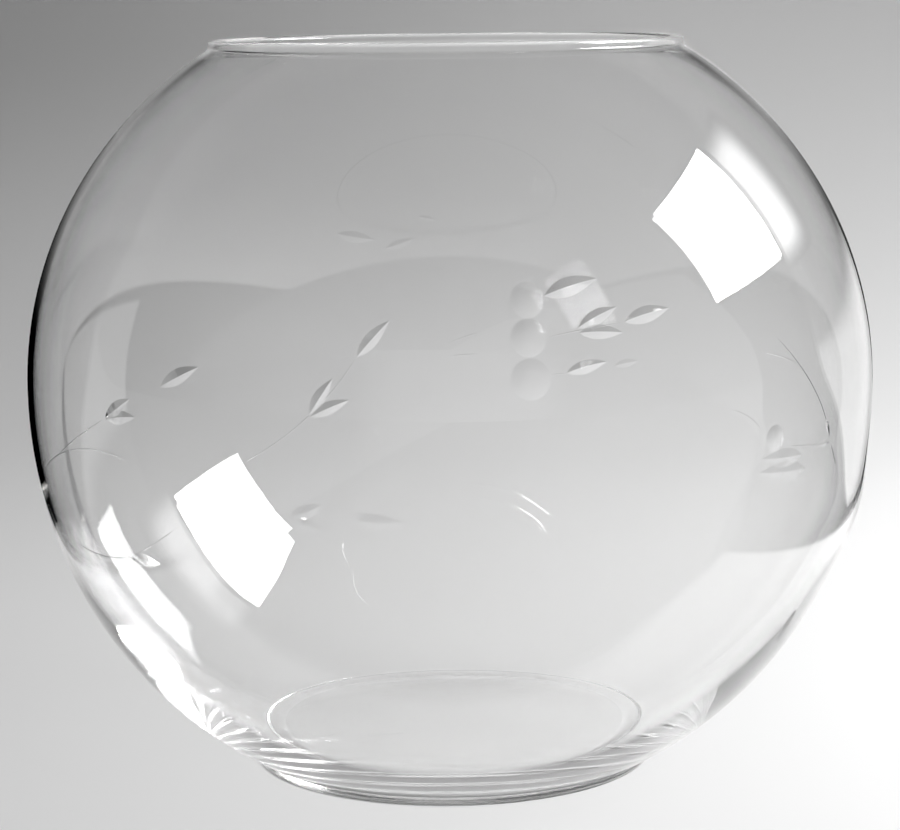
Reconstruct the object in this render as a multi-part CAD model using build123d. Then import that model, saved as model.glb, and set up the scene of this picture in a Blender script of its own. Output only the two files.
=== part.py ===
from build123d import *
import os
from math import sqrt

# Clear blown-glass rose bowl, modelled at real size in millimetres.
# The bowl is a surface of revolution about Z and stands on the plane z = 0.
# Its half section is drawn once, outer form less cavity, and then divided by level planes into
# the three parts of the vessel: the foot with its standing ring, the blown body and the fire-polished lip.
# Neighbouring parts share the face on their dividing plane, as glass that was joined hot does.

# Globe, outside
GLOBE_RADIUS = 101.6
WIDEST_HEIGHT = 93.0
SHOULDER_HEIGHT = 173.0

# Wall and floor
WALL_AT_WIDEST = 1.2
WALL_AT_SHOULDER = 1.8
FLOOR_THICKNESS = 4.1
FLOOR_CORNER_RADIUS = 1.0

# Lip
LIP_RADIUS = 56.7
LIP_THICKNESS = 2.0
LIP_RISE = 2.0
LIP_OUTER_BLEND = 0.5
LIP_INNER_BLEND = 0.8

# Foot
FOOT_RADIUS = 48.6
FOOT_HEIGHT = 1.5
FOOT_EDGE_RADIUS = 0.5
FOOT_TOP_HEIGHT = 21.2
HEEL_INSET = 2.2
PUNT_RADIUS = 43.0
PUNT_DEPTH = 0.3

# Fullness of the globe's quarter rounds: the share of the half axis at which a curve's handles stand.
# The upper half is a true quarter ellipse, and the lower half is blown a little fuller, most of all inside.
UPPER_FULLNESS = 4 * (sqrt(2) - 1) / 3
LOWER_FULLNESS = 0.568
CAVITY_FULLNESS = 0.58

# Halvings in the search for a place on a quarter round, enough for a millionth of a millimetre
HALVINGS = 40


def width_share(along, fullness):
    """Share of the half width on a quarter round, from 0 along it at its widest level to 1 on the axis."""
    back = 1 - along
    return back**3 + 3 * back**2 * along + 3 * fullness * back * along**2


def height_share(radius, half_width, fullness):
    """Share of the half height at which a quarter round has this radius: the same curve read backwards."""
    low, high = 0.0, 1.0
    for _ in range(HALVINGS):
        middle = (low + high) / 2
        if width_share(middle, fullness) > radius / half_width:
            low = middle
        else:
            high = middle
    return width_share(1 - low, fullness)


# Sizes that follow from the driving ones
CAVITY_RADIUS = GLOBE_RADIUS - WALL_AT_WIDEST
FLOOR_RADIUS = FOOT_RADIUS - HEEL_INSET
LIP_INNER_RADIUS = LIP_RADIUS - LIP_THICKNESS
LIP_BASE_HEIGHT = SHOULDER_HEIGHT - WALL_AT_SHOULDER
BOWL_HEIGHT = SHOULDER_HEIGHT + LIP_RISE

# Half heights of the outer globe and of the cavity, from the radius that each has at its known height
OUTER_UP = (SHOULDER_HEIGHT - WIDEST_HEIGHT) / height_share(LIP_RADIUS, GLOBE_RADIUS, UPPER_FULLNESS)
OUTER_DOWN = (WIDEST_HEIGHT - FOOT_HEIGHT) / height_share(FOOT_RADIUS, GLOBE_RADIUS, LOWER_FULLNESS)
CAVITY_UP = (LIP_BASE_HEIGHT - WIDEST_HEIGHT) / height_share(LIP_RADIUS, CAVITY_RADIUS, UPPER_FULLNESS)
CAVITY_DOWN = (WIDEST_HEIGHT - FLOOR_THICKNESS) / height_share(FLOOR_RADIUS, CAVITY_RADIUS, CAVITY_FULLNESS)


def zone(low, high, width):
    """Rectangle of the half plane, from the axis out to a width, between two heights."""
    return Pos(width / 2, (low + high) / 2) * Rectangle(width, high - low)


def half_globe(half_width, half_height_up, half_height_down, lower_fullness):
    """Half section of a globe: two quarter rounds that share the widest level."""
    top, bottom, side = (0, half_height_up), (0, -half_height_down), (half_width, 0)
    over_top = (UPPER_FULLNESS * half_width, half_height_up)
    above_side = (half_width, UPPER_FULLNESS * half_height_up)
    below_side = (half_width, -lower_fullness * half_height_down)
    under_bottom = (lower_fullness * half_width, -half_height_down)
    upper = Bezier(top, over_top, above_side, side)
    lower = Bezier(side, below_side, under_bottom, bottom)
    return Pos(0, WIDEST_HEIGHT) * make_face([upper, lower, Line(bottom, top)])


def lip_section():
    """Upright lip with a full round crest, rooted in the shoulder."""
    round_radius = LIP_THICKNESS / 2
    crest_radius = LIP_RADIUS - round_radius
    crest_height = BOWL_HEIGHT - round_radius
    root_height = WIDEST_HEIGHT + (SHOULDER_HEIGHT - WIDEST_HEIGHT) / 2
    stem_height = crest_height - root_height
    stem = Pos(crest_radius, root_height + stem_height / 2) * Rectangle(LIP_THICKNESS, stem_height)
    return stem + Pos(crest_radius, crest_height) * Circle(round_radius)


def outer_section():
    """Everything inside the outer surface: globe, lip and foot disc, cut off at the table."""
    form = half_globe(GLOBE_RADIUS, OUTER_UP, OUTER_DOWN, LOWER_FULLNESS)
    form = form - zone(SHOULDER_HEIGHT, WIDEST_HEIGHT + OUTER_UP, LIP_RADIUS - LIP_THICKNESS / 2)
    form = form + lip_section() + zone(0, FOOT_HEIGHT, FOOT_RADIUS)
    form = form & zone(0, BOWL_HEIGHT, GLOBE_RADIUS)
    foot_edge = form.vertices().sort_by_distance((FOOT_RADIUS, 0))[0]
    return fillet(foot_edge, FOOT_EDGE_RADIUS)


def cavity_section():
    """Everything that is empty: the globe's inside above its floor, and the mouth."""
    hollow = half_globe(CAVITY_RADIUS, CAVITY_UP, CAVITY_DOWN, CAVITY_FULLNESS)
    hollow = hollow & zone(FLOOR_THICKNESS, WIDEST_HEIGHT + CAVITY_UP, CAVITY_RADIUS)
    floor_corner = hollow.vertices().sort_by_distance((FLOOR_RADIUS, FLOOR_THICKNESS))[0]
    hollow = fillet(floor_corner, FLOOR_CORNER_RADIUS)
    return hollow + zone(WIDEST_HEIGHT, BOWL_HEIGHT, LIP_INNER_RADIUS)


def punt_section():
    """Shallow round hollow under the foot, which leaves a flat ring to stand on."""
    punt_sphere = (PUNT_RADIUS**2 + PUNT_DEPTH**2) / (2 * PUNT_DEPTH)
    return Pos(0, PUNT_DEPTH - punt_sphere) * Circle(punt_sphere)


def glass_section():
    """Half section of the glass, with the lip blended into the shoulder outside and inside."""
    glass = outer_section() - cavity_section() - punt_section()
    outer_corner = glass.vertices().sort_by_distance((LIP_RADIUS, SHOULDER_HEIGHT))[0]
    glass = fillet(outer_corner, LIP_OUTER_BLEND)
    inner_level = CAVITY_UP * height_share(LIP_INNER_RADIUS, CAVITY_RADIUS, UPPER_FULLNESS)
    inner_corner = glass.vertices().sort_by_distance((LIP_INNER_RADIUS, WIDEST_HEIGHT + inner_level))[0]
    return fillet(inner_corner, LIP_INNER_BLEND)


def turned(section, low, high):
    """One part of the vessel: the section between two heights, turned about the Z axis."""
    return revolve(Plane.XZ * (section & zone(low, high, GLOBE_RADIUS)), Axis.Z)


def main():
    glass = glass_section()
    parts = {
        "ringed_foot": turned(glass, 0, FOOT_TOP_HEIGHT),
        "blown_body": turned(glass, FOOT_TOP_HEIGHT, LIP_BASE_HEIGHT),
        "fire_polished_lip": turned(glass, LIP_BASE_HEIGHT, BOWL_HEIGHT),
    }
    os.makedirs("parts", exist_ok=True)
    for name, part in parts.items():
        export_step(part, f"parts/{name}.step")
        print(name, "volume", round(part.volume), "mm3")
    print("height", round(BOWL_HEIGHT, 1), "width", round(2 * GLOBE_RADIUS, 1))


main()
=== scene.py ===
"""Clear blown-glass rose bowl, cut with leafy sprays, on a pale paper sweep beside one softbox.

The bowl is one closed glass surface, worked out in millimetres from its half section and turned about Z.
A belt of the outside is meshed to the cut sprays, so that every leaf and stem is a real groove.
"""

import math

import bpy
import numpy as np
from mathutils import Euler, Matrix, Vector
from mathutils.geometry import delaunay_2d_cdt


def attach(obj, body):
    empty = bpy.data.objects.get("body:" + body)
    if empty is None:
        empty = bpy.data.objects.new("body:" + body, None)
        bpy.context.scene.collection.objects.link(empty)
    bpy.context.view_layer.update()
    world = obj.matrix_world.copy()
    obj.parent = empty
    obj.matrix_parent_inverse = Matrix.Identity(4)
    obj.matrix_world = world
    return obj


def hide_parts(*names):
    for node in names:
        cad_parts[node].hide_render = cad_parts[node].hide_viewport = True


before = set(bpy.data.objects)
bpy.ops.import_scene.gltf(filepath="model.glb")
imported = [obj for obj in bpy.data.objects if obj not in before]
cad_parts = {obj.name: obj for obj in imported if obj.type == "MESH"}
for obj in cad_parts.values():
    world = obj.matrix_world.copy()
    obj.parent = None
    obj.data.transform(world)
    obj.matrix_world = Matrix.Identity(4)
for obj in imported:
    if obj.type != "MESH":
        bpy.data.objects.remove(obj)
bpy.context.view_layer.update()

MM = 0.001

# Globe, lip and foot, in millimetres
GLOBE_RADIUS = 101.6
WIDEST_HEIGHT = 93.0
SHOULDER_HEIGHT = 173.0
WALL_AT_WIDEST = 1.2
WALL_AT_SHOULDER = 1.8
FLOOR_THICKNESS = 4.1
FLOOR_CORNER = 0.7
LIP_RADIUS = 56.7
LIP_THICKNESS = 2.0
LIP_RISE = 2.0
LIP_OUTER_BLEND = 0.5
LIP_INNER_BLEND = 0.8
FOOT_RADIUS = 48.6
FOOT_HEIGHT = 1.5
FOOT_EDGE = 0.5
HEEL_INSET = 2.2
PUNT_RADIUS = 43.0
PUNT_DEPTH = 0.3

# Glass that settled in the heel while it was hot: how much fills the inside, how high, and how it fades
SETTLED = 0.8
SETTLED_HEIGHT = 21.0
SETTLED_SPREAD = 10.0
SETTLED_START = 3.0

# Swell of the lower wall at the right, out of true: how much, at which height, and how it fades
SWELL = 1.4
SWELL_HEIGHT = 63.0
SWELL_SPREAD = 12.0

# Fullness of the globe's quarter rounds: the share of the half axis at which a curve's handles stand
UPPER_FULLNESS = 4 * (math.sqrt(2) - 1) / 3
LOWER_FULLNESS = 0.568
CAVITY_FULLNESS = 0.58

# Newton's steps to a place on such a curve, and the share of the height at which the first one starts
NEWTON_STEPS = 12
NEWTON_START = 0.6

# The belt of the outside that carries the cutting, and the angle from the front at which its ends meet
BELT_LOW = 30.0
BELT_HIGH = 138.0
BELT_ROWS = 42
BELT_SEAM = -math.pi / 2

# Steps round the bowl
STEPS = 256

# Rows of the half section along its runs, from under the foot over the lip to the middle of the floor
PUNT_ROWS = 12
STAND_ROWS = 4
FOOT_EDGE_ROWS = 6
HEEL_ROWS = 60
SHOULDER_ROWS = 18
LIP_FOOT_ROWS = 8
CREST_ROWS = 22
LIP_INSIDE_ROWS = 10
CAVITY_UPPER_ROWS = 30
CAVITY_LOWER_ROWS = 60
FLOOR_CORNER_ROWS = 8
FLOOR_ROWS = 10

# Small lengths in millimetres: the step from which a direction is worked out, the least radius that is
# turned, the margin round a cut's box, and how close two points of the belt may lie
NORMAL_STEP = 0.02
LEAST_RADIUS = 1e-6
BOX_MARGIN = 0.01
SAME_POINT = 1e-5

# The kind of result wanted for the belt: triangles out to its outline
HULL_TRIANGLES = 0

# Slow unevenness of hand-blown glass: depth in millimetres, waves round, waves per metre of height, start.
# The bubble sits a little to the front in the gather, so the wall is thinner there than at the back.
OUTER_WAVES = ((0.10, 2, 4.0, 0.3), (0.05, 3, 9.0, 1.9), (0.03, 5, 14.0, 4.0))
INNER_WAVES = OUTER_WAVES + ((0.2, 1, 0.0, 0.0),)
TRUE_BELOW = 24.0
TRUE_ABOVE = 160.0
TRUE_FADE = 25.0


def quarter(along, fullness):
    """Shares of the half width and half height along a quarter round: a Bezier curve with such handles."""
    back = 1 - along
    wide = back**3 + 3 * back**2 * along + 3 * fullness * back * along**2
    tall = 3 * fullness * back**2 * along + 3 * back * along**2 + along**3
    return wide, tall


def wide_at(tall_share, fullness):
    """Share of the half width at a share of the half height: Newton's steps along the quarter round."""
    along = NEWTON_START * tall_share
    for _ in range(NEWTON_STEPS):
        back = 1 - along
        slope = 3 * back * (fullness * back + 2 * (1 - fullness) * along)
        along = along - (quarter(along, fullness)[1] - tall_share) / slope
    return quarter(along, fullness)[0]


class Round:
    """A quarter round of the globe, above or below its widest level, through a known radius and height."""

    def __init__(self, half_width, fullness, radius, height):
        self.half_width = half_width
        self.fullness = fullness
        self.half_height = (height - WIDEST_HEIGHT) / wide_at(radius / half_width, fullness)

    def radius_at(self, height):
        return self.half_width * wide_at((height - WIDEST_HEIGHT) / self.half_height, self.fullness)

    def height_at(self, radius):
        return WIDEST_HEIGHT + self.half_height * wide_at(radius / self.half_width, self.fullness)

    def points(self, start_height, end_height, count):
        """Rows of (radius, height) between two heights, closer together towards the axis."""
        span = (start_height, end_height)
        ends = [math.asin((height - WIDEST_HEIGHT) / self.half_height) for height in span]
        heights = WIDEST_HEIGHT + self.half_height * np.sin(np.linspace(*ends, count))
        return np.stack([self.radius_at(heights), heights], axis=1)


CAVITY_RADIUS = GLOBE_RADIUS - WALL_AT_WIDEST
FLOOR_RADIUS = FOOT_RADIUS - HEEL_INSET
LIP_INNER_RADIUS = LIP_RADIUS - LIP_THICKNESS
BOWL_HEIGHT = SHOULDER_HEIGHT + LIP_RISE
OUTER_UPPER = Round(GLOBE_RADIUS, UPPER_FULLNESS, LIP_RADIUS, SHOULDER_HEIGHT)
OUTER_LOWER = Round(GLOBE_RADIUS, LOWER_FULLNESS, FOOT_RADIUS, FOOT_HEIGHT)
CAVITY_UPPER = Round(CAVITY_RADIUS, UPPER_FULLNESS, LIP_RADIUS, SHOULDER_HEIGHT - WALL_AT_SHOULDER)
CAVITY_LOWER = Round(CAVITY_RADIUS, CAVITY_FULLNESS, FLOOR_RADIUS, FLOOR_THICKNESS)


def straight(start, end, count):
    """Points of a straight line."""
    share = np.linspace(0, 1, count)[:, None]
    return (1 - share) * np.array(start) + share * np.array(end)


def rounded(start, corner, end, count):
    """Points of a parabola that leaves start towards corner and arrives at end from corner."""
    share = np.linspace(0, 1, count)[:, None]
    start, corner, end = np.array(start), np.array(corner), np.array(end)
    return (1 - share) ** 2 * start + 2 * share * (1 - share) * corner + share**2 * end


def half_section():
    """Rows of (radius, height): from under the foot to the belt, and from it over the lip to the floor."""
    punt_sphere = (PUNT_RADIUS**2 + PUNT_DEPTH**2) / (2 * PUNT_DEPTH)
    punt_radius = np.linspace(0, PUNT_RADIUS, PUNT_ROWS)
    punt_height = PUNT_DEPTH - punt_sphere + np.sqrt(punt_sphere**2 - punt_radius**2)
    punt = np.stack([punt_radius, punt_height], axis=1)
    stand_end = (FOOT_RADIUS - FOOT_EDGE, 0)
    stand = straight((PUNT_RADIUS, 0), stand_end, STAND_ROWS)
    edge = rounded(stand_end, (FOOT_RADIUS, 0), (FOOT_RADIUS, FOOT_EDGE), FOOT_EDGE_ROWS)
    heel = OUTER_LOWER.points(FOOT_HEIGHT, BELT_LOW, HEEL_ROWS)
    blend_radius = LIP_RADIUS + LIP_OUTER_BLEND
    blend_height = OUTER_UPPER.height_at(blend_radius)
    shoulder = OUTER_UPPER.points(BELT_HIGH, blend_height, SHOULDER_ROWS)
    lip_start = (LIP_RADIUS, SHOULDER_HEIGHT + LIP_OUTER_BLEND)
    shoulder_end = (blend_radius, blend_height)
    lip_foot = rounded(shoulder_end, (LIP_RADIUS, SHOULDER_HEIGHT), lip_start, LIP_FOOT_ROWS)
    turn = np.linspace(0, np.pi, CREST_ROWS)
    round_radius = LIP_THICKNESS / 2
    crest = np.stack([np.cos(turn), np.sin(turn)], axis=1) * round_radius
    crest += np.array([LIP_RADIUS - round_radius, BOWL_HEIGHT - round_radius])
    corner_height = CAVITY_UPPER.height_at(LIP_INNER_RADIUS)
    inner_start = (LIP_INNER_RADIUS, corner_height + LIP_INNER_BLEND)
    inner_radius = LIP_INNER_RADIUS + LIP_INNER_BLEND
    inner_height = CAVITY_UPPER.height_at(inner_radius)
    inner_end = (inner_radius, inner_height)
    lip_inside = rounded(inner_start, (LIP_INNER_RADIUS, corner_height), inner_end, LIP_INSIDE_ROWS)
    inner_up = CAVITY_UPPER.points(inner_height, WIDEST_HEIGHT, CAVITY_UPPER_ROWS)
    corner_radius = FLOOR_RADIUS + FLOOR_CORNER
    corner_start = (corner_radius, CAVITY_LOWER.height_at(corner_radius))
    inner_down = CAVITY_LOWER.points(WIDEST_HEIGHT, corner_start[1], CAVITY_LOWER_ROWS)
    floor_end = (FLOOR_RADIUS - FLOOR_CORNER, FLOOR_THICKNESS)
    corner = rounded(corner_start, (FLOOR_RADIUS, FLOOR_THICKNESS), floor_end, FLOOR_CORNER_ROWS)
    floor = straight(floor_end, (0, FLOOR_THICKNESS), FLOOR_ROWS)
    low = np.concatenate([punt, stand[1:], edge[1:], heel])
    inside = [lip_inside, inner_up[1:], inner_down[1:], corner[1:], floor[1:]]
    return low, np.concatenate([shoulder, lip_foot[1:], crest] + inside)


def uneven(waves, theta, height):
    """How far the glass stands out of true: slow cosine waves round and up it, gone at foot and lip."""
    fade = np.clip(np.minimum(height - TRUE_BELOW, TRUE_ABOVE - height) / TRUE_FADE, 0, 1)
    total = 0
    for depth, around, upward, start in waves:
        total = total + depth * np.cos(around * theta + upward * height * MM * 2 * np.pi + start)
    return fade * fade * (3 - 2 * fade) * total


def swell(theta, height):
    """How far the wall swells at the right: a bell over the height, fading to nothing at the left."""
    return SWELL * np.exp(-(((height - SWELL_HEIGHT) / SWELL_SPREAD) ** 2)) * ((1 + np.sin(theta)) / 2) ** 2


def outside(theta, height):
    """How far the outside stands out of true."""
    return uneven(OUTER_WAVES, theta, height) + swell(theta, height)


def inside(theta, height):
    """How far the inside stands out of true, less the settled glass: a bell up it, most at the back."""
    bell = np.exp(-(((height - SETTLED_HEIGHT) / SETTLED_SPREAD) ** 2)) * (1 - np.cos(theta)) / 2
    start = np.clip((height - FLOOR_THICKNESS) / SETTLED_START, 0, 1)
    return uneven(INNER_WAVES, theta, height) + swell(theta, height) - SETTLED * bell * start


def turned(theta, radius, height):
    """Points at an angle from the front, positive to the right, at a radius and a height."""
    return np.stack([radius * np.sin(theta), -radius * np.cos(theta), height + 0 * theta], axis=-1)


def unit(vectors):
    """The same directions at length one."""
    return vectors / np.linalg.norm(vectors, axis=-1)[..., None]


def turned_rows(rows, out_of_true, theta):
    """Points and outward directions of a half section that is turned about Z, with its unevenness."""
    radius, height = rows[:, 0][:, None], rows[:, 1][:, None]
    wide = radius + out_of_true(theta[None, :], height)
    points = turned(theta[None, :], wide, height)
    run = np.concatenate([[0], np.cumsum(np.linalg.norm(np.diff(rows, axis=0), axis=1))])
    upward = np.gradient(points, run, axis=0)
    across = np.stack([np.cos(theta), np.sin(theta), 0 * theta], axis=-1)[None]
    widening = (np.roll(wide, -1, axis=1) - np.roll(wide, 1, axis=1)) / (2 * (theta[1] - theta[0]))
    outward = np.stack([np.sin(theta), -np.cos(theta), 0 * theta], axis=-1)[None]
    around = across * np.maximum(wide, LEAST_RADIUS)[..., None] + outward * widening[..., None]
    return points, unit(np.cross(around, upward))


def belt_point(theta, height, depth):
    """Points of the outside at an angle and a height, sunk by a depth towards the axis."""
    upper = OUTER_UPPER.radius_at(np.maximum(height, WIDEST_HEIGHT))
    lower = OUTER_LOWER.radius_at(np.minimum(height, WIDEST_HEIGHT))
    radius = np.where(height >= WIDEST_HEIGHT, upper, lower) + outside(theta, height)
    return turned(theta, radius - depth, height)


def belt_normal(theta, height):
    """Outward direction of the outside, from a small step each way across it."""
    turn = NORMAL_STEP / GLOBE_RADIUS
    across = belt_point(theta + turn, height, 0) - belt_point(theta - turn, height, 0)
    upward = belt_point(theta, height + NORMAL_STEP, 0) - belt_point(theta, height - NORMAL_STEP, 0)
    return unit(np.cross(across, upward))


# Cut ornament, in millimetres along the girth from the front and in height
LEAF_SHARE = 0.15
LEAF_TAPER = 0.85
LEAF_BOW = 0.04
LEAF_SLOPE = 0.29
FAINT_SLOPE = 0.1
LOW_SLOPE = 0.2
LEAF_STEPS = 10
STEM_HALF_WIDTH = 0.12
STEM_SLOPE = 0.4
STEM_STEP = 2.5
STEM_LEAST_POINTS = 5
PETAL_DEPTH = 0.3
PETAL_STEPS = 28
PETAL_RINGS = 4
CLEAR_OF_CUT = 0.5


class Groove:
    """A V-shaped cut: an axis across the belt, its half width along it and the slope of its two facets."""

    faceted = True

    def __init__(self, axis, half_width, slope):
        self.axis = axis
        self.half_width = half_width
        self.slope = slope
        along = unit(np.gradient(axis, axis=0))
        side = np.stack([-along[:, 1], along[:, 0]], axis=1) * half_width[:, None]
        left, right = (axis + side)[1:-1], (axis - side)[1:-1]
        self.points = np.concatenate([axis, left, right])
        count, inner = len(axis), len(axis) - 2
        rib = [(k, k + 1) for k in range(count - 1)]
        left_path = [0] + list(range(count, count + inner)) + [count - 1]
        right_path = [0] + list(range(count + inner, count + 2 * inner)) + [count - 1]
        self.edges = rib + list(zip(left_path, left_path[1:])) + list(zip(right_path, right_path[1:]))

    def inset(self, points):
        """How far points lie inside the nearer edge of the groove, below zero outside it."""
        start, end = self.axis[:-1], self.axis[1:]
        run = end - start
        share = ((points[:, None] - start) * run).sum(axis=2) / (run**2).sum(axis=1)
        share = np.clip(share, 0, 1)
        away = np.linalg.norm(points[:, None] - start - share[..., None] * run, axis=2)
        width = (1 - share) * self.half_width[:-1] + share * self.half_width[1:]
        return (width - away).max(axis=1)

    def depth(self, points):
        return self.slope * np.clip(self.inset(points), 0, None)


class Dish:
    """A round polished hollow, as deep as a parabola over its radius."""

    faceted = False

    def __init__(self, centre, radius):
        self.centre = np.array(centre)
        self.radius = radius
        turn = np.linspace(0, 2 * np.pi, PETAL_STEPS, endpoint=False)
        circle = np.stack([np.cos(turn), np.sin(turn)], axis=1)
        shares = [(PETAL_RINGS - k) / PETAL_RINGS for k in range(PETAL_RINGS)]
        rings = [self.centre + circle * radius * share for share in shares]
        self.points = np.concatenate(rings + [self.centre[None]])
        self.edges = [(k, (k + 1) % PETAL_STEPS) for k in range(PETAL_STEPS)]

    def inset(self, points):
        return self.radius - np.linalg.norm(points - self.centre, axis=1)

    def depth(self, points):
        away = np.linalg.norm(points - self.centre, axis=1) / self.radius
        return PETAL_DEPTH * np.clip(1 - away**2, 0, None)


def leaf(foot, tip, slope=LEAF_SLOPE):
    """A two-facet leaf, pointed at both ends: half width as a sine along an axis that bows a little."""
    foot, tip = np.array(foot, float), np.array(tip, float)
    run = tip - foot
    control = (foot + tip) / 2 + LEAF_BOW * np.array([-run[1], run[0]])
    share = np.linspace(0, 1, LEAF_STEPS)
    half_width = LEAF_SHARE * np.linalg.norm(run) * np.abs(np.sin(np.pi * share**LEAF_TAPER))
    return Groove(rounded(foot, control, tip, LEAF_STEPS), half_width, slope)


def stem(start, middle, end):
    """A hair-fine groove along a parabola through three points, running out at both ends."""
    start, middle, end = np.array(start, float), np.array(middle, float), np.array(end, float)
    count = max(STEM_LEAST_POINTS, int(np.linalg.norm(end - start) / STEM_STEP))
    width = np.full(count, STEM_HALF_WIDTH)
    width[0] = width[-1] = 0
    return Groove(rounded(start, 2 * middle - (start + end) / 2, end, count), width, STEM_SLOPE)


def front_sprays():
    """Sprays on the front: a flower in the middle, and leaves on stems that run out to both sides."""
    petals = [Dish((17.0, 123.0), 3.7), Dish((16.8, 115.4), 3.9), Dish((16.9, 107.0), 4.3)]
    stems = [
        stem((-44.7, 89.2), (-30.3, 99.2), (-19.7, 111.9)),
        stem((-109, 83.3), (-97, 89.2), (-85.3, 94.8)),
        stem((-119.5, 79.1), (-97.2, 86.6), (-78.2, 86.4)),
        stem((-108.6, 63.2), (-95.4, 62.3), (-82.6, 63.7)),
        stem((-82.2, 63.9), (-73, 68), (-64.4, 72.9)),
        stem((0, 114.9), (3.3, 116), (6.4, 116.8)),
        stem((0, 112.2), (3.2, 112.4), (6.3, 112.5)),
        stem((21, 115.4), (28.2, 116.5), (38.7, 117.7)),
        stem((21.4, 107.8), (22.8, 107.9), (24.4, 107.9))]
    leaves = [
        leaf((-29.8, 99.8), (-24.7, 107.6)),
        leaf((-29.5, 99.5), (-21, 103.2)),
        leaf((-19.7, 111.9), (-12.8, 119.4)),
        leaf((-84.8, 95.2), (-76.2, 100.2)),
        leaf((-84.6, 94.9), (-74.2, 96.3)),
        leaf((-67, 103.6), (-56.5, 108.5)),
        leaf((-82, 63.7), (-71.6, 63.6), LOW_SLOPE),
        leaf((20.8, 123.7), (33.7, 126.8)),
        leaf((27.8, 117), (37.4, 120.9)),
        leaf((28, 116), (38.2, 115.6)),
        leaf((38.7, 117.7), (50.2, 119.9)),
        leaf((24.6, 108), (33.8, 109.9)),
        leaf((35.4, 108.9), (41.3, 109.6), FAINT_SLOPE)]
    return petals + stems + leaves


def side_spray():
    """The spray round the right side: a bowed stem with a twig and two leaves, a flower over two more."""
    stems = [
        stem((79.8, 111.6), (93.1, 98.1), (100.2, 86.4)),
        stem((100.9, 85.2), (103, 82.4), (104.7, 79.6)),
        stem((76.4, 108.4), (82, 106.7), (86.6, 104.9)),
        stem((82.9, 87.3), (88.5, 86.6), (94.2, 85.9)),
        stem((63.5, 97.6), (69, 95.5), (73.2, 92))]
    leaves = [
        leaf((97.9, 91.4), (100, 87), LOW_SLOPE),
        leaf((100, 85.8), (94.6, 85.6), FAINT_SLOPE),
        leaf((88.1, 84.7), (73.4, 85.6), FAINT_SLOPE),
        leaf((89.9, 81.3), (73, 82.6), FAINT_SLOPE)]
    return [Dish((77.8, 89.6), 3.0)] + stems + leaves


def back_sprays():
    """Shallower sprays on the back, faint through the front: three leaves high up and three low down."""
    high = [
        leaf((352.2, 121.1), (340.5, 118.7), FAINT_SLOPE),
        leaf((337.5, 116), (328.8, 119), FAINT_SLOPE),
        leaf((328.1, 125.8), (322.5, 124.6), FAINT_SLOPE)]
    low = [
        leaf((372.8, 42.8), (360.7, 45), LOW_SLOPE),
        leaf((372.6, 42.2), (360.7, 37.8), LOW_SLOPE),
        leaf((350.7, 40.2), (335.4, 39), LOW_SLOPE)]
    return high + low


def near(cut, points, margin):
    """Which points lie in the box round a cut."""
    low, high = cut.points.min(axis=0) - margin, cut.points.max(axis=0) + margin
    return ((points >= low) & (points <= high)).all(axis=1)


def belt_mesh(cuts, theta):
    """Places and triangles of the belt, in millimetres of girth and height, with every cut's edges.

    The places are an even grid, less what lies in or close to a cut, and the cuts' own points.
    """
    girth = GLOBE_RADIUS * np.concatenate([theta, [theta[0] + 2 * np.pi]])
    heights = np.linspace(BELT_LOW, BELT_HIGH, BELT_ROWS)
    base = np.stack(np.meshgrid(girth, heights), axis=-1)
    keep = np.ones(base.shape[:2], bool)
    flat = base.reshape(-1, 2)
    for cut in cuts:
        box = np.flatnonzero(near(cut, flat, CLEAR_OF_CUT))
        keep.reshape(-1)[box[cut.inset(flat[box]) > -CLEAR_OF_CUT]] = False
    number = np.cumsum(keep.reshape(-1)).reshape(keep.shape) - 1
    points = [flat[keep.reshape(-1)]]
    frame_edges = []
    for line in (number[0], number[-1], number[:, 0], number[:, -1]):
        frame_edges += list(zip(line[:-1].tolist(), line[1:].tolist()))
    offset = len(points[0])
    for cut in cuts:
        frame_edges += [(a + offset, b + offset) for a, b in cut.edges]
        points.append(cut.points)
        offset += len(cut.points)
    points = np.concatenate(points)
    corners = [Vector(p) for p in points.tolist()]
    found = delaunay_2d_cdt(corners, frame_edges, [], HULL_TRIANGLES, SAME_POINT)
    places = np.array([tuple(p) for p in found[0]])
    triangles = np.array(found[2])
    return places, triangles


def build_mesh(name, points, quads, triangles, corner_normals, triangle_materials):
    """A mesh object from points, faces of four, then of three, and one normal for each of their corners."""
    mesh = bpy.data.meshes.new(name)
    loops = np.concatenate([quads.ravel(), triangles.ravel()])
    totals = np.concatenate([np.full(len(quads), 4), np.full(len(triangles), 3)])
    materials = np.concatenate([np.zeros(len(quads), np.int32), triangle_materials])
    mesh.vertices.add(len(points))
    mesh.vertices.foreach_set("co", (points * MM).ravel())
    mesh.loops.add(len(loops))
    mesh.loops.foreach_set("vertex_index", loops.astype(np.int32))
    mesh.polygons.add(len(totals))
    mesh.polygons.foreach_set("loop_start", (np.cumsum(totals) - totals).astype(np.int32))
    mesh.polygons.foreach_set("material_index", materials.astype(np.int32))
    mesh.polygons.foreach_set("use_smooth", np.ones(len(totals), bool))
    mesh.update(calc_edges=True)
    mesh.normals_split_custom_set(corner_normals)
    item = bpy.data.objects.new(name, mesh)
    bpy.context.scene.collection.objects.link(item)
    return item


def joined_rows(low, high):
    """Values of all rows in the order of the points' numbers, with only one at each pole."""
    return [low[0, :1], low[1:].reshape(-1, 3), high[:-1].reshape(-1, 3), high[-1, :1]]


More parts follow.
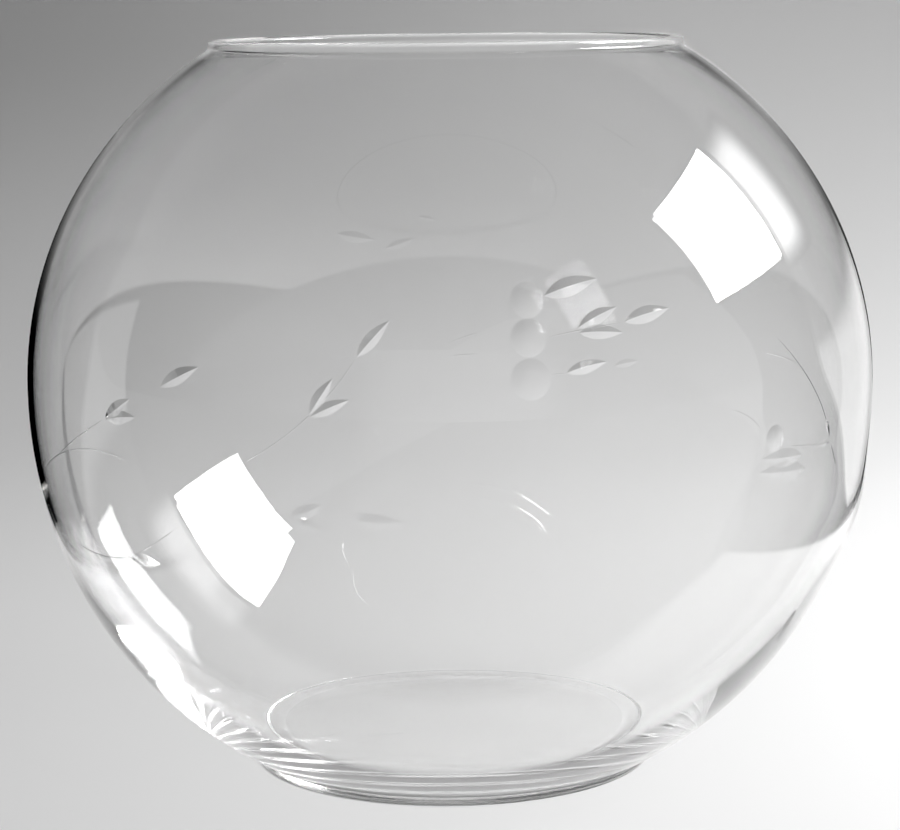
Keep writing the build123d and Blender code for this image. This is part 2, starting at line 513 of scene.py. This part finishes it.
def belt_numbers(places, low_row, high_row, first):
    """Numbers of the belt's points, and which of them are new.

    Those on its low and high edge are the rows' own, its two ends meet in one seam, and the rest are new.
    """
    girth_step = GLOBE_RADIUS * 2 * np.pi / STEPS
    start = GLOBE_RADIUS * BELT_SEAM
    column = np.rint((places[:, 0] - start) / girth_step).astype(int) % STEPS
    on_low = np.isclose(places[:, 1], BELT_LOW)
    on_high = np.isclose(places[:, 1], BELT_HIGH)
    between = ~on_low & ~on_high
    starts = np.flatnonzero(np.isclose(places[:, 0], start) & between)
    ends = np.flatnonzero(np.isclose(places[:, 0], start + STEPS * girth_step) & between)
    new = between.copy()
    new[ends] = False
    number = np.zeros(len(places), int)
    number[new] = first + np.arange(new.sum())
    number[on_low] = low_row[column[on_low]]
    number[on_high] = high_row[column[on_high]]
    number[ends[np.argsort(places[ends, 1])]] = number[starts[np.argsort(places[starts, 1])]]
    return number, new


def cut_belt(cuts, places, belt):
    """Depth of the cuts at every place of the belt, and which triangles lie in facets and in hollows."""
    depth = np.zeros(len(places))
    middle = places[belt].mean(axis=1)
    facet = np.zeros(len(belt), bool)
    hollow = np.zeros(len(belt), bool)
    for cut in cuts:
        box = np.flatnonzero(near(cut, places, BOX_MARGIN))
        depth[box] = np.maximum(depth[box], cut.depth(places[box]))
        box = np.flatnonzero(near(cut, middle, 0))
        kind = facet if cut.faceted else hollow
        kind[box[cut.inset(middle[box]) > 0]] = True
    return depth, facet, hollow


def glass_bowl(cuts):
    """The whole bowl: the half section turned in even steps, the cut belt meshed between two of its rows."""
    theta = BELT_SEAM + np.arange(STEPS) * 2 * np.pi / STEPS
    low_rows, high_rows = half_section()
    low_points, low_normals = turned_rows(low_rows, outside, theta)
    high_points, high_normals = turned_rows(high_rows, outside, theta)
    crest = int(np.argmax(high_rows[:, 1]))
    inner_points, inner_normals = turned_rows(high_rows, inside, theta)
    high_points[crest:], high_normals[crest:] = inner_points[crest:], inner_normals[crest:]
    low_normals[-1] = belt_normal(theta, np.full(STEPS, BELT_LOW))
    high_normals[0] = belt_normal(theta, np.full(STEPS, BELT_HIGH))
    low_normals[0] = (0, 0, -1)
    high_normals[-1] = (0, 0, 1)
    # Numbers of the points: the pole under the foot, the rows to the belt, those above it, the floor's pole
    low_number = 1 + np.arange((len(low_rows) - 1) * STEPS).reshape(-1, STEPS)
    high_number = low_number[-1, -1] + 1 + np.arange((len(high_rows) - 1) * STEPS).reshape(-1, STEPS)
    floor_pole = high_number[-1, -1] + 1
    quads = []
    for number in (low_number, high_number):
        right = np.roll(number, -1, axis=1)
        quads.append(np.stack([number[:-1], right[:-1], right[1:], number[1:]], axis=-1).reshape(-1, 4))
    quads = np.concatenate(quads)
    first, last = low_number[0], high_number[-1]
    under = np.stack([0 * first, np.roll(first, -1), first], axis=-1)
    floor = np.stack([last, np.roll(last, -1), 0 * last + floor_pole], axis=-1)
    # The belt's new points follow
    places, belt = belt_mesh(cuts, theta)
    number, new = belt_numbers(places, low_number[-1], high_number[0], floor_pole + 1)
    depth, facet, hollow = cut_belt(cuts, places, belt)
    angle = places[:, 0] / GLOBE_RADIUS
    belt_points = belt_point(angle, places[:, 1], depth)
    belt_normals = belt_normal(angle, places[:, 1])
    points = np.concatenate(joined_rows(low_points, high_points) + [belt_points[new]])
    normals = np.concatenate(joined_rows(low_normals, high_normals) + [belt_normals[new]])
    triangles = np.concatenate([under, floor, number[belt]])
    plain = np.zeros(len(under) + len(floor), bool)
    facet = np.concatenate([plain, facet])
    hollow = np.concatenate([plain, hollow])
    # A facet is flat, and a point of a hollow takes the mean direction of the hollow's faces round it
    corners = points[triangles]
    flat = unit(np.cross(corners[:, 1] - corners[:, 0], corners[:, 2] - corners[:, 0]))
    dished = np.zeros(points.shape)
    for corner in range(3):
        np.add.at(dished, triangles[hollow][:, corner], flat[hollow])
    triangle_normals = normals[triangles]
    triangle_normals[facet] = flat[facet][:, None]
    triangle_normals[hollow] = unit(dished[triangles[hollow]])
    corner_normals = np.concatenate([normals[quads].reshape(-1, 3), triangle_normals.reshape(-1, 3)])
    return build_mesh("glass_bowl", points, quads, triangles, corner_normals, facet)


# The sRGB curve: a straight start below the knee, and a power above it
SRGB_KNEE = 0.04045
SRGB_SLOPE = 12.92
SRGB_OFFSET = 0.055
SRGB_POWER = 2.4
WHITE = "#FFFFFF"


def linear(code):
    """A colour written as sRGB hex, as linear red, green, blue and full alpha."""
    values = np.array([int(code[k:k + 2], 16) for k in (1, 3, 5)]) / 255
    curve = ((values + SRGB_OFFSET) / (1 + SRGB_OFFSET)) ** SRGB_POWER
    values = np.where(values <= SRGB_KNEE, values / SRGB_SLOPE, curve)
    return (*values.tolist(), 1.0)


def add(tree, kind, inputs=None, **settings):
    """Adds a node with settings and input values; an input that is given as a socket or a node is linked."""
    node = tree.nodes.new(kind)
    for key, value in settings.items():
        setattr(node, key, value)
    for key, value in (inputs or {}).items():
        if isinstance(value, bpy.types.Node):
            value = value.outputs[0]
        if isinstance(value, bpy.types.NodeSocket):
            tree.links.new(value, node.inputs[key])
        else:
            node.inputs[key].default_value = value
    return node


def faded(tree, level, *spans):
    """A level times one soft step for each value: a smooth S from 0 at its start to 1 at its end."""
    for value, start, end in spans:
        step = add(tree, "ShaderNodeMapRange", {"Value": value, "From Min": start, "From Max": end},
                   interpolation_type="SMOOTHSTEP")
        level = add(tree, "ShaderNodeMath", {0: level, 1: step}, operation="MULTIPLY")
    return level


def material(name):
    """An empty material and its node tree."""
    made = bpy.data.materials.new(name)
    made.use_nodes = True
    made.node_tree.nodes.clear()
    return made, made.node_tree


# The foot keeps some of the lamp's light from the paper under the front of its standing ring.
# Each span, in metres from the axis, up and to the front, goes from no shade to the full one.
CLEAR_LEVEL = 0.99
SHADE = 0.65
SHADE_RADIUS = (0.044, 0.0443)
SHADE_HEIGHT = (0.0006, 0.0003)
SHADE_FRONT = (0.005, -0.03)
LEVEL_PLANE = (1.0, 1.0, 0.0)
GLASS_IOR = 1.52


def glass(name, tint, roughness):
    """Clear glass of a tint and a roughness, which lets the lamp's light through to the paper unbent."""
    made, tree = material(name)
    surface = add(tree, "ShaderNodeBsdfPrincipled", {
        "Base Color": linear(tint), "Roughness": roughness, "IOR": GLASS_IOR, "Transmission Weight": 1.0})
    place = add(tree, "ShaderNodeTexCoord").outputs["Object"]
    across = add(tree, "ShaderNodeVectorMath", {0: place, 1: LEVEL_PLANE}, operation="MULTIPLY")
    radius = add(tree, "ShaderNodeVectorMath", {0: across}, operation="LENGTH")
    spot = add(tree, "ShaderNodeSeparateXYZ", {0: place})
    shade = faded(tree, SHADE, (radius.outputs["Value"], *SHADE_RADIUS), (spot.outputs["Z"], *SHADE_HEIGHT),
                  (spot.outputs["Y"], *SHADE_FRONT))
    clear = add(tree, "ShaderNodeMath", {0: CLEAR_LEVEL, 1: shade}, operation="SUBTRACT")
    through = add(tree, "ShaderNodeBsdfTransparent", {"Color": clear})
    path = add(tree, "ShaderNodeLightPath").outputs
    to_lamp, to_paper = path["Is Shadow Ray"], path["Is Diffuse Ray"]
    unbent = add(tree, "ShaderNodeMath", {0: to_lamp, 1: to_paper}, operation="MAXIMUM")
    mixed = add(tree, "ShaderNodeMixShader", {0: unbent, 1: surface, 2: through})
    add(tree, "ShaderNodeOutputMaterial", {"Surface": mixed})
    return made


# Clear soda-lime glass: colourless and mirror smooth from the fire, so only its edges and mirror images show
clear_glass = glass("clear fire-polished soda-lime glass", tint=WHITE, roughness=0.0)
# Wheel-cut facets: finely ground and nearly polished again, so they only soften what shows through
cut_glass = glass("wheel-cut soda-lime glass", tint=WHITE, roughness=0.08)

bowl = glass_bowl(front_sprays() + side_spray() + back_sprays())
bowl.data.materials.append(clear_glass)
bowl.data.materials.append(cut_glass)
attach(bowl, "root")
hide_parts("ringed_foot", "blown_body", "fire_polished_lip")

# Paper sweep: a level floor that curves up behind, in metres
SWEEP_FRONT = -3.0
SWEEP_FLAT = 0.4
SWEEP_RADIUS = 1.2
SWEEP_TOP = 2.2
SWEEP_HALF_WIDTH = 4.5
SWEEP_STEPS = 40
PAPER = "#E6E6E6"

# Painted shade: high at the left, the paper's colour is made a little greyer, in place of less light there
PAPER_PAINTED_SHADE = 0.25
PAPER_PAINTED_SHADE_HEIGHT = (0.02, 0.16)
PAPER_PAINTED_SHADE_ASIDE = (0.16, -0.3)

# Painted reflection: only in the glass's mirror images and bent views, the paper shows as a narrow sheet
# among dark, with glowing paler patches to the right, left and front.
# Each lies beyond straight edges, given as a direction across the floor and the distance along it in metres.
SHEET_EDGES = (((-1.0, 0.1), -0.184), ((1.0, 0.06), -0.163), ((0.0, 1.0), -0.09))
RIGHT_PATCH = (((1.0, -0.445), 0.0135), ((1.0, 0.0), 0.235), ((-0.39, 1.0), 0.0615))
LEFT_PATCH = (((-1.0, -0.06), 0.175), ((-0.342, -0.94), 0.038))
FRONT_PATCH = (((0.0, -1.0), 0.09),)
EDGE_BLUR = 0.003

# How bright the painted patches glow; the right one grows dimmer over a span of height
RIGHT_LEVEL = 1.0
RIGHT_HIGH_LEVEL = 0.2
RIGHT_HORIZON = (0.06, 0.2)
LEFT_LEVEL = 0.45
FRONT_LEVEL = 0.2

# A dim painted glow, a band low at the back that only the glass shows, in metres up and to either side, with
# the spans over which it fades
FAR_LEVEL = 0.26
FAR_RISE = (0.04, 0.24)
FAR_FALL = (0.6, 0.36)
FAR_ASIDE = (0.9, 0.6)

# How far aside, up or to the front the glass bends a view before it shows the painted reflection of the
# narrow sheet as well
STRAY_ASIDE = (0.6, 0.9)
STRAY_HIGH = (0.4, 0.7)
STRAY_FRONT = (-0.15, -0.3)

# Above this count, light has met a mirror surface, or passed into glass, at least once
ONCE = 0.5


def paper_sweep():
    """Floor, curve and wall as one sheet: a profile along Y and Z, drawn out along X."""
    turn = np.linspace(0, np.pi / 2, SWEEP_STEPS)
    curve = np.stack([SWEEP_FLAT + SWEEP_RADIUS * np.sin(turn), SWEEP_RADIUS * (1 - np.cos(turn))], axis=1)
    profile = np.concatenate([[[SWEEP_FRONT, 0]], curve, [[SWEEP_FLAT + SWEEP_RADIUS, SWEEP_TOP]]])
    count = len(profile)
    sides = [np.column_stack([np.full(count, x), profile]) for x in (-SWEEP_HALF_WIDTH, SWEEP_HALF_WIDTH)]
    faces = [(k, k + count, k + count + 1, k + 1) for k in range(count - 1)]
    mesh = bpy.data.meshes.new("paper_sweep")
    mesh.from_pydata(np.concatenate(sides).tolist(), [], faces)
    mesh.polygons.foreach_set("use_smooth", np.ones(len(faces), bool))
    item = bpy.data.objects.new("paper_sweep", mesh)
    bpy.context.scene.collection.objects.link(item)
    return item


def beyond(tree, edges, level=1.0):
    """A level beyond all of some straight edges across the floor: times one short step for each edge."""
    place = add(tree, "ShaderNodeTexCoord").outputs["Object"]
    for direction, distance in edges:
        along = add(tree, "ShaderNodeVectorMath", {0: place, 1: (*direction, 0.0)}, operation="DOT_PRODUCT")
        step = add(tree, "ShaderNodeMapRange", {
            "Value": along.outputs["Value"],
            "From Min": distance - EDGE_BLUR,
            "From Max": distance + EDGE_BLUR})
        level = add(tree, "ShaderNodeMath", {0: level, 1: step}, operation="MULTIPLY")
    return level


def mirrored(tree):
    """1 for what is seen in a mirror image in the glass, 0 for what is seen directly or straight through."""
    path = add(tree, "ShaderNodeLightPath").outputs
    return add(tree, "ShaderNodeMath", {0: path["Glossy Depth"], 1: ONCE}, operation="GREATER_THAN")


def strayed(tree, place):
    """1 for what is seen through glass that bends the view far aside, up or to the front, 0 for the rest."""
    path = add(tree, "ShaderNodeLightPath").outputs
    bent = add(tree, "ShaderNodeMath", {0: path["Transmission Depth"], 1: ONCE}, operation="GREATER_THAN")
    aside = add(tree, "ShaderNodeMath", {0: place.outputs["X"]}, operation="ABSOLUTE")
    most = 0.0
    back, height = place.outputs["Y"], place.outputs["Z"]
    for span in ((aside, *STRAY_ASIDE), (height, *STRAY_HIGH), (back, *STRAY_FRONT)):
        most = add(tree, "ShaderNodeMath", {0: most, 1: faded(tree, bent, span)}, operation="MAXIMUM")
    return most


def background_paper():
    """Matt white paper, with painted shade that greys it high at the left. Where the glass mirrors it, it
    shows a painted reflection: it ends close beside the bowl among glowing patches and dark.
    """
    made, tree = material("pale matt background paper")
    place = add(tree, "ShaderNodeSeparateXYZ", {0: add(tree, "ShaderNodeTexCoord").outputs["Object"]})
    right, height = place.outputs["X"], place.outputs["Z"]
    # Painted shade in the paper's colour: greyer high at the left
    painted_shade = faded(tree, PAPER_PAINTED_SHADE, (height, *PAPER_PAINTED_SHADE_HEIGHT), (right, *PAPER_PAINTED_SHADE_ASIDE))
    light = add(tree, "ShaderNodeMath", {0: 1.0, 1: painted_shade}, operation="SUBTRACT")
    shade = add(tree, "ShaderNodeVectorMath", {0: linear(PAPER)[:3], "Scale": light}, operation="SCALE")
    whole = add(tree, "ShaderNodeBsdfDiffuse", {"Color": shade})
    aside = add(tree, "ShaderNodeMath", {0: right}, operation="ABSOLUTE")
    level = faded(tree, FAR_LEVEL, (height, *FAR_RISE), (height, *FAR_FALL), (aside, *FAR_ASIDE))
    sunk = faded(tree, RIGHT_LEVEL - RIGHT_HIGH_LEVEL, (height, *RIGHT_HORIZON))
    right_level = add(tree, "ShaderNodeMath", {0: RIGHT_LEVEL, 1: sunk}, operation="SUBTRACT")
    for edges, full in ((RIGHT_PATCH, right_level), (LEFT_PATCH, LEFT_LEVEL), (FRONT_PATCH, FRONT_LEVEL)):
        patch = beyond(tree, edges, full)
        level = add(tree, "ShaderNodeMath", {0: level, 1: patch}, operation="MAXIMUM")
    # Painted reflection: glowing patches and dark that only the glass shows in place of the paper
    beside = add(tree, "ShaderNodeEmission", {"Strength": level})
    narrow = add(tree, "ShaderNodeMixShader", {0: beyond(tree, SHEET_EDGES), 1: beside, 2: whole})
    stray = strayed(tree, place)
    painted_reflection_share = add(tree, "ShaderNodeMath", {0: mirrored(tree), 1: stray}, operation="MAXIMUM")
    shown = add(tree, "ShaderNodeMixShader", {0: painted_reflection_share, 1: whole, 2: narrow})
    add(tree, "ShaderNodeOutputMaterial", {"Surface": shown})
    return made


sweep = paper_sweep()
sweep.data.materials.append(background_paper())

# One softbox to the right, as high as its mirror image in the glass says
SOFTBOX_PLACE = Vector((0.806, 0.020, 0.585))
SOFTBOX_AIM = Vector((0.0, 0.0, 0.075))
SOFTBOX_WIDTH = 0.508
SOFTBOX_HEIGHT = 0.406
SOFTBOX_POWER = 17.5

lamp = bpy.data.lights.new("softbox", "AREA")
lamp.shape = "RECTANGLE"
lamp.size = SOFTBOX_WIDTH
lamp.size_y = SOFTBOX_HEIGHT
lamp.energy = SOFTBOX_POWER
softbox = bpy.data.objects.new("softbox", lamp)
softbox.location = SOFTBOX_PLACE
softbox.rotation_euler = (SOFTBOX_AIM - SOFTBOX_PLACE).to_track_quat("-Z", "Y").to_euler()
bpy.context.scene.collection.objects.link(softbox)

# A glowing flap in the softbox's plane, just behind it, in metres across and up from its middle.
# It is no lamp but a painted reflection: only mirror images show its glow.
FLAP_START = 0.29
FLAP_FULL = 0.4
FLAP_END = 0.69
FLAP_LOW = -0.255
FLAP_HIGH = 0.205
FLAP_FADE = 0.1
FLAP_LEVEL = 3.4


def flap():
    """A rectangle in the plane of the softbox."""
    low = [(FLAP_START, FLAP_LOW, 0), (FLAP_END, FLAP_LOW, 0)]
    high = [(FLAP_END, FLAP_HIGH, 0), (FLAP_START, FLAP_HIGH, 0)]
    mesh = bpy.data.meshes.new("flap")
    mesh.from_pydata(low + high, [], [(0, 1, 2, 3)])
    item = bpy.data.objects.new("flap", mesh)
    item.location = softbox.location
    item.rotation_euler = softbox.rotation_euler
    bpy.context.scene.collection.objects.link(item)
    return item


def painted_flap_glow():
    """A painted glow, no lamp: emission that falls off towards its far side and its ends, shown only in
    mirror images and hidden from direct view.
    """
    made, tree = material("painted flap glow")
    place = add(tree, "ShaderNodeSeparateXYZ", {0: add(tree, "ShaderNodeTexCoord").outputs["Object"]})
    across, up = place.outputs["X"], place.outputs["Y"]
    level = faded(tree, FLAP_LEVEL, (across, FLAP_END, FLAP_FULL), (up, FLAP_LOW, FLAP_LOW + FLAP_FADE),
                  (up, FLAP_HIGH, FLAP_HIGH - FLAP_FADE))
    pale = add(tree, "ShaderNodeEmission", {"Strength": level})
    hidden = add(tree, "ShaderNodeBsdfTransparent")
    shown = add(tree, "ShaderNodeMixShader", {0: mirrored(tree), 1: hidden, 2: pale})
    add(tree, "ShaderNodeOutputMaterial", {"Surface": shown})
    return made


# The flap glows as a painted reflection, though it is no lamp
glow_flap = flap()
glow_flap.data.materials.append(painted_flap_glow())

# The room, dim where it is seen directly. As a painted reflection, mirror images show it paler: most to the
# front, less to the sides, least to the right and high up. Each value is a share of a direction to the back,
# to the right or upward.
WORLD_LEVEL = 0.03
ROOM_LEVEL = 0.6
ROOM_FRONT = -0.7
ROOM_SIDE_LEVEL = 0.25
ROOM_SIDE = -0.2
ROOM_RIGHT_LEVEL = 0.2
ROOM_RIGHT = (0.65, 0.25)
ROOM_FULL = 0.35
ROOM_END = 0.95


def dim_studio():
    """A dim world; mirror images show it as a painted reflection, by the product of its levels towards the
    front, the right and above.
    """
    made = bpy.data.worlds.new("dim studio")
    made.use_nodes = True
    tree = made.node_tree
    ray = add(tree, "ShaderNodeSeparateXYZ", {0: add(tree, "ShaderNodeTexCoord").outputs["Generated"]})
    low = add(tree, "ShaderNodeMapRange", {
        "Value": ray.outputs["Z"],
        "From Min": ROOM_END,
        "From Max": ROOM_FULL})
    front = add(tree, "ShaderNodeMapRange", {
        "Value": ray.outputs["Y"],
        "From Min": ROOM_SIDE,
        "From Max": ROOM_FRONT,
        "To Min": ROOM_SIDE_LEVEL,
        "To Max": ROOM_LEVEL})
    right = faded(tree, 1.0, (ray.outputs["X"], *ROOM_RIGHT))
    right = add(tree, "ShaderNodeMath", {0: right, 1: ROOM_RIGHT_LEVEL}, operation="MAXIMUM")
    # Painted reflection: only mirror images see the paler room
    level = mirrored(tree)
    for share in (low, front, right):
        level = add(tree, "ShaderNodeMath", {0: level, 1: share}, operation="MULTIPLY")
    level = add(tree, "ShaderNodeMath", {0: level, 1: WORLD_LEVEL}, operation="MAXIMUM")
    background = tree.nodes["Background"]
    background.inputs["Color"].default_value = linear(WHITE)
    tree.links.new(level.outputs[0], background.inputs["Strength"])
    return made


bpy.context.scene.world = dim_studio()

# Camera: a short telephoto a little above the lip, looking down at the bowl
CAMERA_PLACE = (-0.0001, -0.6397, 0.1878)
CAMERA_PITCH = 0.1613
CAMERA_ROLL = -0.0123
CAMERA_LENS = 106.2
SENSOR_WIDTH = 36.0

# Light that the wall guides turns many times inside the glass before it comes out
LIGHT_BOUNCES = 160

view = bpy.data.cameras.new("camera")
view.sensor_width = SENSOR_WIDTH
view.lens = CAMERA_LENS
camera = bpy.data.objects.new("camera", view)
camera.location = CAMERA_PLACE
turn = Euler((math.pi / 2 - CAMERA_PITCH, 0, 0)).to_matrix() @ Matrix.Rotation(CAMERA_ROLL, 3, "Z")
camera.rotation_euler = turn.to_euler()
bpy.context.scene.collection.objects.link(camera)
bpy.context.scene.camera = camera
bpy.context.scene.view_settings.view_transform = "Standard"
bpy.context.scene.cycles.caustics_reflective = False
bpy.context.scene.cycles.caustics_refractive = False
bpy.context.scene.cycles.max_bounces = LIGHT_BOUNCES
bpy.context.scene.cycles.glossy_bounces = LIGHT_BOUNCES
bpy.context.scene.cycles.transmission_bounces = LIGHT_BOUNCES
bpy.context.scene.cycles.sample_clamp_indirect = 0.0
